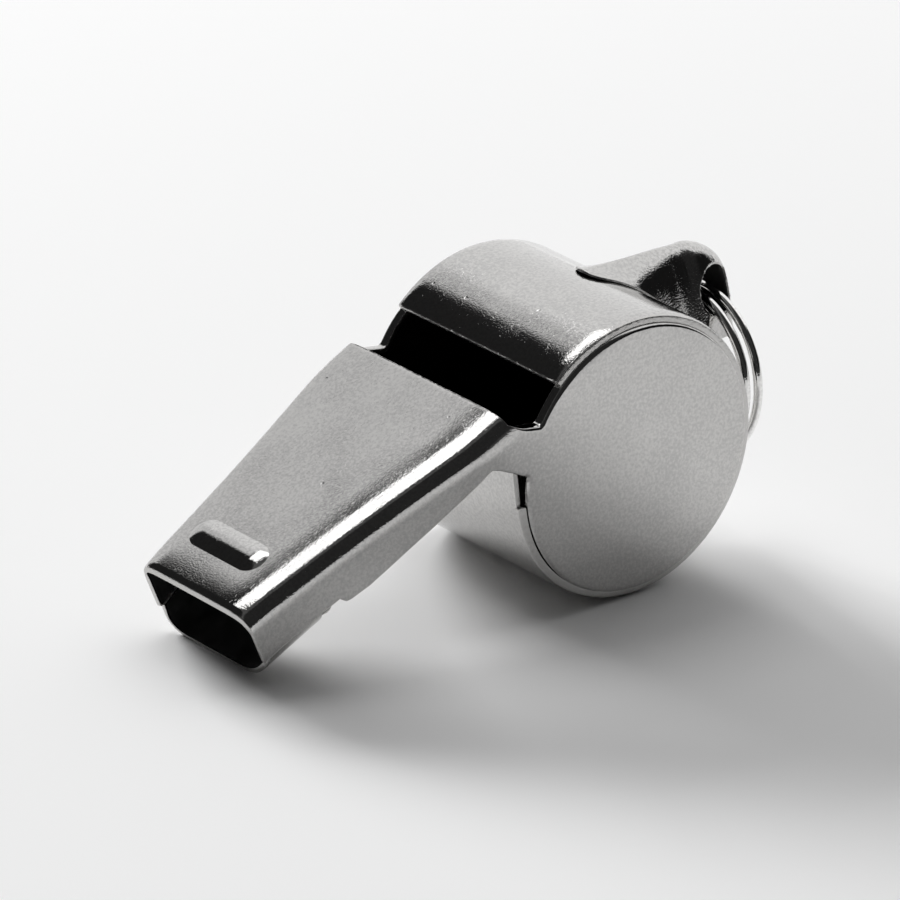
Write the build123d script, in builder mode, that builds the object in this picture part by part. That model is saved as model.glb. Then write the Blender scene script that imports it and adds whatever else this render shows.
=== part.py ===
"""Pressed-metal sports whistle with a cork pea and a split ring, lying on its barrel and mouthpiece tip.

The blow frame sits on the barrel axis: its x runs from the tip towards the back, its z is square to the
roof of the mouthpiece.  The level frame shares that origin but stays upright.  Lengths are millimetres.
"""
from build123d import *
import math
import os

os.makedirs("parts", exist_ok=True)

# Sheet metal
sheet = 0.4
inner_fold_radius = 0.2
solder_gap = 0.03
overrun = 3.0

# Barrel and cheeks
barrel_radius = 10.0
strip_half_width = 8.4
cheek_proud = 0.3
cheek_edge_radius = 0.38
cheek_flange_depth = 0.75
flange_clearance = 0.2
lip_angle = 73.7

# Roof and walls of the mouthpiece
roof_rise = 0.33
roof_length = 21.75
window_inset = 2.55
tip_half_width = 5.86
flare_run = 0.4
shoulder_radius = 1.4
wall_height_tip = 3.62
wall_step_setback = 6.6
wall_step = 0.45
armpit_run = 0.05
armpit_drop = 2.4
armpit_radius = 0.8
neck_top_drop = 0.95
neck_shoulder_radius = 0.5
neck_top_angle = 55.5
neck_low_angle = 34.0

# Raised bite ridge across the roof
ridge_setback = 4.0
ridge_length = 6.8
ridge_width = 2.2
ridge_height = 0.7
ridge_foot = 0.08

# Floor of the mouthpiece, folded from the barrel strip
windway_slit = 1.4
fold_setback = 0.35
floor_start_run = 1.6
floor_clearance = 0.16
spoon_length = 4.95
joggle_run = 0.75
mouth_height = 6.23
spoon_rise = 0.45
spoon_corner_radius = 2.1
spoon_lap = 1.0

# Lanyard loop on the back of the barrel
ridge_line_rise = 0.05
nose_run = 0.5
nose_radius = 3.95
hood_bottom_drop = 2.4
hood_front_half_width = 1.45
hood_middle_half_width = 2.0
hood_middle_inset = 1.0
hood_nose_half_width = 1.25
hood_round = 1.1
eye_run = 2.2
eye_rise = 0.85
eye_diameter = 3.4
foot_front_angle = 12.0
foot_back_angle = 76.0
foot_lap = 0.3

# Split ring
wire_diameter = 0.65
ring_middle_radius = 5.9
turn_gap = 0.45
ring_clearance = 0.3
ring_start_angle = 130.0
crank_angle = 42.0
turn_arcs = 4

# Cork pea
pea_radius = 4.5
pea_clearance = 0.3

# Places along the blow frame
roof_height = barrel_radius + roof_rise
window_reach = barrel_radius - window_inset
tip_reach = window_reach + roof_length
flare_reach = barrel_radius + flare_run
armpit_reach = barrel_radius + armpit_run
wall_step_reach = tip_reach - wall_step_setback
ridge_reach = tip_reach - ridge_setback
spoon_reach = tip_reach - spoon_length
tip_underside = roof_height - mouth_height

# Shared sizes
strip_inner_radius = barrel_radius - sheet
cheek_radius = strip_inner_radius - solder_gap
cheek_half_width = strip_half_width + cheek_proud
narrow_half_width = cheek_half_width - cheek_flange_depth - flange_clearance
fold_radius = inner_fold_radius + sheet
nose_reach = barrel_radius + nose_run
cut_reach = barrel_radius + overrun

# Resting tilt: the barrel and the underside of the tip touch the same level surface
tip_distance = math.hypot(tip_reach, tip_underside)
rest_tilt = math.asin(barrel_radius / tip_distance) + math.atan2(tip_underside, tip_reach)
tilt_cos = math.cos(rest_tilt)
tilt_sin = math.sin(rest_tilt)
front_end = -(tip_reach * tilt_cos + roof_height * tilt_sin)
back_end = nose_reach + nose_radius
barrel_x = -(front_end + back_end) / 2
axis_point = (barrel_x, 0, barrel_radius)

# Planes through the barrel axis
side = Plane(origin=axis_point, x_dir=(tilt_cos, 0, tilt_sin), z_dir=(0, -1, 0))
plan = Plane(origin=axis_point, x_dir=(tilt_cos, 0, tilt_sin), z_dir=(-tilt_sin, 0, tilt_cos))
level_side = Plane(origin=axis_point, x_dir=(1, 0, 0), z_dir=(0, -1, 0))
level_plan = Plane(origin=axis_point, x_dir=(1, 0, 0), z_dir=(0, 0, 1))
roof_plane = plan.offset(roof_height)
roof_up = Axis(axis_point, plan.z_dir)


def rotated(angle, radius):
    """Point of the blow frame at an angle above the line from the axis to the tip."""
    return (-radius * math.cos(math.radians(angle)), radius * math.sin(math.radians(angle)))


# Walls of the mouthpiece: their flare, edges and the necks that join them to the cheeks
flare = math.atan2(cheek_half_width - tip_half_width, tip_reach - flare_reach)
wall_inset = sheet / math.cos(flare)
wall_edge_tip = roof_height - wall_height_tip
wall_edge_step = wall_edge_tip - wall_step
neck_shoulder = (-window_reach, roof_height - neck_top_drop)
armpit = (-armpit_reach, roof_height - armpit_drop)
neck_top = rotated(neck_top_angle, cheek_radius)
neck_low = rotated(neck_low_angle, cheek_radius)


def wall_half_width(x, inset):
    """Half the width of the mouthpiece at a place along the blow frame, drawn in by an inset."""
    return tip_half_width - inset + math.tan(flare) * (tip_reach + x)


def flared_outline(front, back, inset):
    """Plan of the mouthpiece between two places, with its sides drawn in by an inset."""
    front_half = wall_half_width(front, inset)
    back_half = wall_half_width(back, inset)
    return [(front, front_half), (back, back_half), (back, -back_half), (front, -front_half)]


# Top pressing: roof, two walls, two necks and two cheeks from one sheet
with BuildPart() as pressing_core:
    with BuildSketch(plan.offset(-cut_reach)):
        with BuildLine():
            Polyline(*flared_outline(-tip_reach - overrun, -flare_reach, wall_inset), close=True)
        make_face()
        Rectangle(2 * flare_reach, 2 * (cheek_half_width - wall_inset))
    extrude(amount=cut_reach + roof_height - sheet)
    core_roof = pressing_core.faces().sort_by(roof_up)[-1]
    fillet(core_roof.edges().filter_by(Axis.Y, reverse=True), shoulder_radius - sheet)
    with BuildSketch(side):
        with BuildLine():
            Polyline(
                (-tip_reach - overrun, roof_height),
                (-window_reach + sheet, roof_height),
                (-window_reach + sheet, neck_shoulder[1] - 2 * sheet),
                rotated(neck_top_angle, cheek_radius - sheet),
                (0, 0),
                rotated(neck_low_angle, cheek_radius - sheet),
                (-tip_reach - overrun, neck_low[1] - sheet),
                close=True,
            )
        make_face()
        Circle(cheek_radius - sheet)
    extrude(amount=cheek_half_width, both=True, mode=Mode.INTERSECT)

with BuildPart() as cheek_drum:
    with BuildSketch(side):
        Circle(cheek_radius)
    extrude(amount=cheek_half_width, both=True)
    fillet(cheek_drum.edges().filter_by(GeomType.CIRCLE), cheek_edge_radius)

with BuildPart() as top_pressing:
    with BuildSketch(plan.offset(-cut_reach)):
        with BuildLine():
            Polyline(*flared_outline(-tip_reach, -flare_reach, 0), close=True)
        make_face()
        Rectangle(2 * flare_reach, 2 * cheek_half_width)
    extrude(amount=cut_reach + roof_height)
    roof = top_pressing.faces().sort_by(roof_up)[-1]
    fillet(roof.edges().filter_by(Axis.Y, reverse=True), shoulder_radius)
    with BuildSketch(side) as outline:
        with BuildLine():
            Polyline(
                (-tip_reach, roof_height),
                (-window_reach, roof_height),
                neck_shoulder,
                neck_top,
                (0, 0),
                neck_low,
                armpit,
                (-wall_step_reach, wall_edge_step),
                (-wall_step_reach, wall_edge_tip),
                (-tip_reach, wall_edge_tip),
                close=True,
            )
        make_face()
        for corner, corner_radius in ((neck_shoulder, neck_shoulder_radius), (armpit, armpit_radius)):
            nearest = outline.vertices().sort_by_distance(Vector(*corner))[0]
            fillet(nearest, corner_radius)
    extrude(amount=cheek_half_width, both=True, mode=Mode.INTERSECT)
    add(cheek_drum.part)
    add(pressing_core.part, mode=Mode.SUBTRACT)
    with BuildSketch(side):
        with BuildLine():
            Polyline(
                (-cut_reach, -cut_reach),
                (cut_reach, -cut_reach),
                (cut_reach, cut_reach),
                (-window_reach + sheet, cut_reach),
                (-window_reach + sheet, roof_height - sheet - windway_slit / 2),
                (-cut_reach, roof_height - sheet - windway_slit / 2),
                close=True,
            )
        make_face()
    extrude(amount=cheek_half_width - cheek_flange_depth, both=True, mode=Mode.SUBTRACT)
    with BuildSketch(roof_plane.offset(-sheet / 2)):
        with Locations((-ridge_reach, 0)):
            SlotOverall(ridge_length, ridge_width, rotation=90)
    extrude(amount=ridge_height + sheet / 2)
    ridge_top = top_pressing.faces().sort_by(roof_up)[-1]
    fillet(ridge_top.edges(), ridge_height - ridge_foot)
    with BuildSketch(roof_plane.offset(-sheet - overrun)):
        with Locations((-ridge_reach, 0)):
            SlotOverall(ridge_length - 2 * sheet, ridge_width - 2 * sheet, rotation=90)
    extrude(amount=ridge_height + overrun, mode=Mode.SUBTRACT)
top_pressing.part.label = "top_pressing"
export_step(top_pressing.part, "parts/top_pressing.step")

# Barrel strip: lip, barrel, rise, fold, mouthpiece floor and spoon-shaped tip from one sheet
fold_top = (-(window_reach - fold_setback), roof_height - sheet - windway_slit)
fold_distance = math.hypot(fold_top[0], fold_top[1])
fold_angle = math.degrees(math.atan2(fold_top[1], -fold_top[0]))
leave_angle = fold_angle - math.degrees(math.acos(strip_inner_radius / fold_distance))
barrel_arc = 360 - (lip_angle - leave_angle)
joggle_top = (-(spoon_reach - joggle_run), wall_edge_step + floor_clearance + sheet)
floor_slope = (fold_top[1] - joggle_top[1]) / (fold_top[0] - joggle_top[0])
spoon_slope = spoon_rise / spoon_length
floor_inset = wall_inset + solder_gap
tray_top = wall_edge_tip + spoon_lap


def floor_point(x):
    """Point on the upper side of the mouthpiece floor."""
    return (x, fold_top[1] + floor_slope * (x - fold_top[0]))


def spoon_point(x, lift):
    """Point a lift above the underside of the spoon."""
    return (x, tip_underside + spoon_slope * (tip_reach + x) + lift)


def spoon_block(front, back, lift, top, inset, corner_radius):
    """Block with rounded lower corners that fills the spoon between two places."""
    with BuildPart() as block:
        with BuildSketch(side):
            with BuildLine():
                Polyline(spoon_point(front, lift), spoon_point(back, lift), (back, top), (front, top), close=True)
            make_face()
        extrude(amount=cheek_half_width, both=True)
        with BuildSketch(plan):
            with BuildLine():
                Polyline(*flared_outline(front, back, inset), close=True)
            make_face()
        extrude(amount=cut_reach, mode=Mode.INTERSECT)
        underside = block.faces().sort_by(roof_up)[0]
        fillet(underside.edges().filter_by(Axis.Y, reverse=True), corner_radius)
    return block.part


joggle_back = joggle_top[0] + joggle_run
spoon_outside = spoon_block(-tip_reach, joggle_back, 0, tray_top, floor_inset, spoon_corner_radius)
spoon_inside = spoon_block(
    -tip_reach - overrun,
    -spoon_reach + overrun,
    sheet,
    roof_height,
    floor_inset + wall_inset,
    spoon_corner_radius - sheet,
)

with BuildPart() as spoon:
    add(spoon_outside)
    add(spoon_inside, mode=Mode.SUBTRACT)
    with BuildSketch(side):
        with Locations((-spoon_reach, 0)):
            Rectangle(overrun, 2 * cut_reach, align=(Align.MIN, Align.CENTER))
    extrude(amount=cheek_half_width, both=True, mode=Mode.SUBTRACT)

with BuildPart() as joggle:
    with BuildSketch(side):
        with BuildLine():
            joggle_line = FilletPolyline(
                floor_point(joggle_back),
                joggle_top,
                spoon_point(-spoon_reach, sheet),
                spoon_point(-tip_reach, sheet),
                radius=(fold_radius, fold_radius),
            )
            offset(joggle_line, amount=sheet, side=Side.LEFT)
        make_face()
    extrude(amount=cheek_half_width, both=True)
    add(spoon_outside, mode=Mode.INTERSECT)

with BuildPart() as floor_sheet:
    with BuildSketch(side):
        with BuildLine():
            floor_line = Line(floor_point(fold_top[0] - floor_start_run), joggle_top)
            offset(floor_line, amount=sheet, side=Side.LEFT)
        make_face()
    extrude(amount=cheek_half_width, both=True)
    with BuildSketch(plan):
        with BuildLine():
            Polyline(*flared_outline(-tip_reach, -flare_reach, floor_inset), close=True)
        make_face()
        Rectangle(2 * flare_reach, 2 * (cheek_half_width - floor_inset))
    extrude(amount=cut_reach, mode=Mode.INTERSECT)

with BuildPart() as barrel_strip:
    with BuildSketch(side):
        with BuildLine():
            CenterArc((0, 0), barrel_radius, 180 - leave_angle, barrel_arc)
            CenterArc((0, 0), strip_inner_radius, 180 - leave_angle, barrel_arc)
            Line(rotated(leave_angle, strip_inner_radius), rotated(leave_angle, barrel_radius))
            Line(rotated(lip_angle, strip_inner_radius), rotated(lip_angle, barrel_radius))
        make_face()
    extrude(amount=strip_half_width, both=True)
    with BuildSketch(side):
        with BuildLine():
            rise_line = FilletPolyline(
                rotated(leave_angle, strip_inner_radius),
                fold_top,
                floor_point(fold_top[0] - 2 * floor_start_run),
                radius=fold_radius,
            )
            offset(rise_line, amount=sheet, side=Side.LEFT)
        make_face()
    extrude(amount=narrow_half_width, both=True)
    add(floor_sheet.part)
    add(joggle.part)
    add(spoon.part)
barrel_strip.part.label = "barrel_strip"
export_step(barrel_strip.part, "parts/barrel_strip.step")

# Lanyard loop: a hollow pressed hood with a foot wrapped round the barrel and an eye through both sides
seat_radius = barrel_radius + solder_gap
ridge_level = barrel_radius + ridge_line_rise
nose_centre = ridge_level - nose_radius
hood_bottom = nose_centre - hood_bottom_drop
hood_front = seat_radius * math.sin(math.radians(foot_front_angle)) + foot_lap
hood_middle = barrel_radius - hood_middle_inset
eye = (barrel_radius + eye_run, nose_centre + eye_rise)
foot_angle = math.radians((foot_front_angle + foot_back_angle) / 2)
foot_half_angle = math.radians((foot_back_angle - foot_front_angle) / 2)
foot_half_width = hood_middle_half_width + foot_lap
foot_plane = Plane(
    origin=axis_point,
    x_dir=(math.cos(foot_angle), 0, -math.sin(foot_angle)),
    z_dir=(math.sin(foot_angle), 0, math.cos(foot_angle)),
)


def hood_block(inset):
    """Solid hood, drawn in on every side by an inset."""
    radius = nose_radius - inset
    bottom = hood_bottom + inset
    below = math.degrees(math.asin((nose_centre - bottom) / radius))
    with BuildPart() as block:
        with BuildSketch(level_side):
            with BuildLine():
                nose = CenterArc((nose_reach, nose_centre), radius, 90, -90 - below)
                Polyline(nose @ 1, (hood_front, bottom), (hood_front, ridge_level - inset), nose @ 0)
            make_face()
        extrude(amount=cheek_half_width, both=True)
        with BuildSketch(level_plan):
            with BuildLine():
                flank = ThreePointArc(
                    (hood_front, hood_front_half_width - inset),
                    (hood_middle, hood_middle_half_width - inset),
                    (nose_reach + radius, hood_nose_half_width - inset),
                )
                Polyline(flank @ 0, (hood_front, 0), (nose_reach + radius, 0), flank @ 1)
            make_face()
            mirror(about=Plane.XZ)
        extrude(amount=cut_reach, mode=Mode.INTERSECT)
        flanks = block.faces().sort_by(Axis.Y)
        rims = ShapeList()
        for face in (flanks[0], flanks[-1]):
            rims.extend(face.edges().sort_by(Axis.Z)[-2:])
        fillet(rims, hood_round - inset)
    return block.part


hood_outside = hood_block(0)
hood_inside = hood_block(sheet)

with BuildPart() as lanyard_loop:
    with BuildSketch(level_side):
        Circle(seat_radius + sheet)
    extrude(amount=foot_half_width, both=True)
    with BuildSketch(foot_plane):
        SlotOverall(2 * seat_radius * math.sin(foot_half_angle), 2 * foot_half_width)
    extrude(amount=cut_reach, mode=Mode.INTERSECT)
    add(hood_outside)
    add(hood_inside, mode=Mode.SUBTRACT)
    with BuildSketch(level_side):
        Circle(seat_radius)
        with Locations(eye):
            Circle(eye_diameter / 2)
    extrude(amount=cheek_half_width, both=True, mode=Mode.SUBTRACT)
lanyard_loop.part.label = "lanyard_loop"
export_step(lanyard_loop.part, "parts/lanyard_loop.step")

# Split ring: two turns of wire side by side, joined by a cranked stretch
turn_pitch = wire_diameter + turn_gap
hang_drop = (eye_diameter - wire_diameter - turn_pitch) / 2 - ring_clearance
ring_top = Vector(barrel_x + eye[0], 0, barrel_radius + eye[1] - hang_drop)
flat_arc = 360 - crank_angle
arc_step = flat_arc / turn_arcs


def ring_point(angle, layer):
    """Middle of the wire at an angle from the top, in the turn at one side or the other."""
    turn = math.radians(angle)
    across = ring_middle_radius * math.sin(turn)
    below = ring_middle_radius * (math.cos(turn) - 1)
    return ring_top + Vector(layer * turn_pitch / 2, across, below)


def ring_direction(angle):
    """Direction of the wire at an angle from the top."""
    turn = math.radians(angle)
    return Vector(0, math.cos(turn), -math.sin(turn))


def biarc_joint(start, start_direction, end, end_direction):
    """Point where two arcs meet that leave the start and reach the end along given directions."""
    span = end - start
    along = span.dot(start_direction + end_direction)
    bend = 2 * (1 - start_direction.dot(end_direction))
    reach = (math.sqrt(along * along + bend * span.dot(span)) - along) / bend
    return (start + end + (start_direction - end_direction) * reach) * 0.5


crank_start = ring_start_angle + flat_arc
crank_end = ring_start_angle + 360
with BuildPart() as split_ring:
    with BuildLine() as ring_path:
        for layer, first_angle in ((-1, ring_start_angle), (1, crank_end)):
            for arc in range(turn_arcs):
                begin = first_angle + arc * arc_step
                middle = begin + arc_step / 2
                finish = begin + arc_step
                ThreePointArc(ring_point(begin, layer), ring_point(middle, layer), ring_point(finish, layer))
        crank_from = ring_point(crank_start, -1)
        crank_to = ring_point(crank_end, 1)
        crank_middle = biarc_joint(
            crank_from, ring_direction(crank_start), crank_to, ring_direction(crank_end)
        )
        first_bend = TangentArc(crank_from, crank_middle, tangent=ring_direction(crank_start))
        TangentArc(crank_middle, crank_to, tangent=first_bend % 1)
    with BuildSketch(Plane(origin=ring_point(ring_start_angle, -1), z_dir=ring_direction(ring_start_angle))):
        Circle(wire_diameter / 2)
    sweep(path=ring_path.wire())
split_ring.part.label = "split_ring"
export_step(split_ring.part, "parts/split_ring.step")

# Least gap of the wire to itself, between points a quarter turn or more apart along it
samples_per_turn = 90
ring_samples = [ring_path.wire() @ (i / (2 * samples_per_turn)) for i in range(2 * samples_per_turn + 1)]
least_gap = min(
    (ring_samples[i] - ring_samples[j]).length - wire_diameter
    for i in range(len(ring_samples))
    for j in range(i + samples_per_turn // 4, len(ring_samples))
)
print("least gap of the split ring to itself:", round(least_gap, 3))

# Cork pea, lying at the bottom of the barrel
pea_drop = strip_inner_radius - pea_radius - pea_clearance
with BuildPart(Plane(axis_point).offset(-pea_drop)) as cork_pea:
    Sphere(pea_radius)
cork_pea.part.label = "cork_pea"
export_step(cork_pea.part, "parts/cork_pea.step")
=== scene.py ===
"""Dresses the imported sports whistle: plated sheet, spring wire and cork over the CAD frame, in a pale studio."""

import logging
import math
from collections.abc import Callable
from dataclasses import dataclass, replace
from enum import Enum

import bpy
import numpy as np
from mathutils import Matrix
from numpy.typing import NDArray


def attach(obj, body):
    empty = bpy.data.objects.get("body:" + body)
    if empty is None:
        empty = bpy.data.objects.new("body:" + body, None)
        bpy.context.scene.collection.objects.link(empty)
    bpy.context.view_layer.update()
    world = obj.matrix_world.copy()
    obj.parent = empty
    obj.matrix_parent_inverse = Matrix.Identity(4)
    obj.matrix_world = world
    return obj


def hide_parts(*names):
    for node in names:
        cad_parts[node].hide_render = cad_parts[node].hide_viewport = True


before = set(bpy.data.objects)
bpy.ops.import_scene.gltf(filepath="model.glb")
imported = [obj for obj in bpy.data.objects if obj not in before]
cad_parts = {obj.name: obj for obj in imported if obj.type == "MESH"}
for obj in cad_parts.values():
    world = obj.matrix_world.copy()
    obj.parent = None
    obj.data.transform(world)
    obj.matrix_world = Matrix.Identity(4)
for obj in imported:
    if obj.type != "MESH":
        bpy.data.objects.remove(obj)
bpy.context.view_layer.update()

Array = NDArray[np.float64]
Index = NDArray[np.int64]
Placing = Callable[[Array], Array]
Finishes = tuple[bpy.types.Material, ...]
Pair = tuple[float, float]
Point = tuple[float, float, float]
Colour = tuple[float, float, float, float]
Table = tuple[Pair, ...]
log = logging.getLogger("whistle")

METRES_PER_MM = 0.001
RIGHT_ANGLE = math.pi / 2
FULL_TURN = 360.0
WELD_REACH = 1e-4
WELD_SHIFT = 0.137
TINY = 1e-12
TINY_GAP = 1e-3
SHARP_ANGLE = math.radians(38.0)
FACE_CORNERS = 4
EDGE_POWER = 4.0
EDGE_DEPTHS = (0.05, 0.15, 0.3, 0.5, 0.7, 0.85, 0.95)
SHOULDER_SAMPLES = 400
WHITE = (1.0, 1.0, 1.0, 1.0)
PLATE_BRIGHT = (0.57, 0.563, 0.552, 1.0)
PLATE_TARNISHED = (0.46, 0.455, 0.45, 1.0)


class Side(Enum):
    """The two sides of the whistle, as seen by the player."""

    RIGHT = -1.0
    LEFT = 1.0


class Blend(Enum):
    """What a Mix node mixes: Blender's name for it, the places of its inputs and that of its output."""

    LEVEL = ("FLOAT", (0, 2, 3), 0)
    COLOUR = ("RGBA", (0, 6, 7), 2)


def smooth(value: Array) -> Array:
    """A share from 0 to 1 eased at both ends: three squares less two cubes."""
    held = np.clip(value, 0.0, 1.0)
    return held * held * (3.0 - 2.0 * held)


def read_off(table: Table, x: Array) -> Array:
    """Values at places along a table of places and values, with straight lines between."""
    return np.interp(x, *np.array(table).T)


def resampled(points: Array, count: int) -> Array:
    """Points spaced evenly along a run of straight lines.

    Args:
        points: the corners, one row each.
        count: how many points to give back.

    Returns:
        The evenly spaced points, first and last corner included.
    """
    lengths = np.linalg.norm(np.diff(points, axis=0), axis=1)
    reach = np.concatenate([[0.0], np.cumsum(lengths)])
    wanted = np.linspace(0.0, reach[-1], count)
    return np.stack([np.interp(wanted, reach, column) for column in points.T], axis=1)


def eased(points: Array, passes: int) -> Array:
    """A run of points whose inner ones move toward the mean of their neighbours, pass after pass.

    Args:
        points: the run.
        passes: how often it is eased.

    Returns:
        The eased points, with the ends kept.
    """
    run = points.copy()
    for _ in range(passes):
        run[1:-1] = 0.25 * run[:-2] + 0.5 * run[1:-1] + 0.25 * run[2:]
    return run


@dataclass(frozen=True)
class Layout:
    """Sizes that several pieces share, in millimetres and degrees, from the barrel axis."""

    sheet: float = 0.4
    barrel_radius: float = 10.0
    barrel_x: float = 8.0981
    rest_tilt: float = 27.817
    strip_half_width: float = 8.4
    cheek_half_width: float = 8.7
    cheek_radius: float = 9.4
    roof_height: float = 10.33
    window_reach: float = 7.45
    tip_reach: float = 29.2
    flare_reach: float = 10.4
    flare_blend: float = 0.35
    tip_half_width: float = 5.86
    waist: float = 0.22
    shoulder_arcs: Table = ((18.0, 3.0), (74.0, 1.14), (86.5, 4.2), (90.0, 25.0))

    def half_width(self, x: Array) -> Array:
        """Half the width of the mouthpiece: a flare with a slight waist that eases into the flat cheeks.

        Args:
            x: places along the blow frame.

        Returns:
            The half widths, a soft minimum of the flare line and the cheek, less half a sine wave.
        """
        slope = (self.cheek_half_width - self.tip_half_width) / (self.tip_reach - self.flare_reach)
        line = self.tip_half_width + slope * (self.tip_reach + x)
        share = np.clip(0.5 + 0.5 * (self.cheek_half_width - line) / self.flare_blend, 0.0, 1.0)
        mixed = self.cheek_half_width + (line - self.cheek_half_width) * share
        along = np.clip((self.tip_reach + x) / (self.tip_reach - self.flare_reach), 0.0, 1.0)
        return mixed - self.flare_blend * share * (1.0 - share) - self.waist * np.sin(math.pi * along)

    def side_width(self, x: Array, z: Array) -> Array:
        """Half width of the pressing's side at a height: the wall, drawn in along the shoulder's round.

        Args:
            x: places along the blow frame.
            z: heights in the blow frame.

        Returns:
            The half widths.
        """
        drawn, climbed = self.shoulder(np.linspace(0.0, RIGHT_ANGLE, SHOULDER_SAMPLES))
        return self.half_width(x) - np.interp(z - self.spring, climbed, drawn)

    def shoulder(self, angle: Array) -> tuple[Array, Array]:
        """How far the shoulder has drawn in and climbed where it has turned by an angle from the wall.

        The round is made of arcs end to end: each adds its radius times the change of the cosine
        to the draw, and times the change of the sine to the climb.

        Args:
            angle: turns from the wall, a right angle at the roof.

        Returns:
            The draw and the climb.
        """
        drawn, climbed, start = np.zeros_like(angle), np.zeros_like(angle), 0.0
        for end, radius in self.shoulder_arcs:
            first, last = math.radians(start), math.radians(end)
            turned = np.clip(angle, first, last)
            drawn = drawn + radius * (math.cos(first) - np.cos(turned))
            climbed = climbed + radius * (np.sin(turned) - math.sin(first))
            start = end
        return drawn, climbed

    @property
    def spring(self) -> float:
        """Height at which the walls begin to turn into the shoulders."""
        return self.roof_height - float(self.shoulder(np.array(RIGHT_ANGLE))[1])

    def turn_at(self, height: float) -> float:
        """Angle from the wall that the shoulder has turned by at a height."""
        turn = np.linspace(0.0, RIGHT_ANGLE, SHOULDER_SAMPLES)
        return float(np.interp(height - self.spring, self.shoulder(turn)[1], turn))

    def crown(self, z: Array) -> Array:
        """Share of the way from the top of the walls to the roof, eased."""
        return smooth((z - self.spring) / (self.roof_height - self.spring))

    def from_blow(self, points: Array) -> Array:
        """Row frame of points in the blow frame: turned by the resting tilt, then set on the axis.

        Args:
            points: points in millimetres.

        Returns:
            Points in metres.
        """
        tilt = math.radians(self.rest_tilt)
        x, y, z = points.T
        along = x * math.cos(tilt) - z * math.sin(tilt)
        up = x * math.sin(tilt) + z * math.cos(tilt)
        return self.from_level(np.stack([along, y, up], axis=1))

    def from_level(self, points: Array) -> Array:
        """Row frame in metres of points that are already upright, in millimetres from the axis."""
        return (points + np.array([self.barrel_x, 0.0, self.barrel_radius])) * METRES_PER_MM


LAYOUT = Layout()


def shown(name: str, data: bpy.types.ID) -> bpy.types.Object:
    """New object at the origin, linked to the scene.

    Args:
        name: the object's name.
        data: the mesh, lamp or camera that it shows.

    Returns:
        The object.
    """
    made = bpy.data.objects.new(name, data)
    bpy.context.scene.collection.objects.link(made)
    return made


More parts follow.
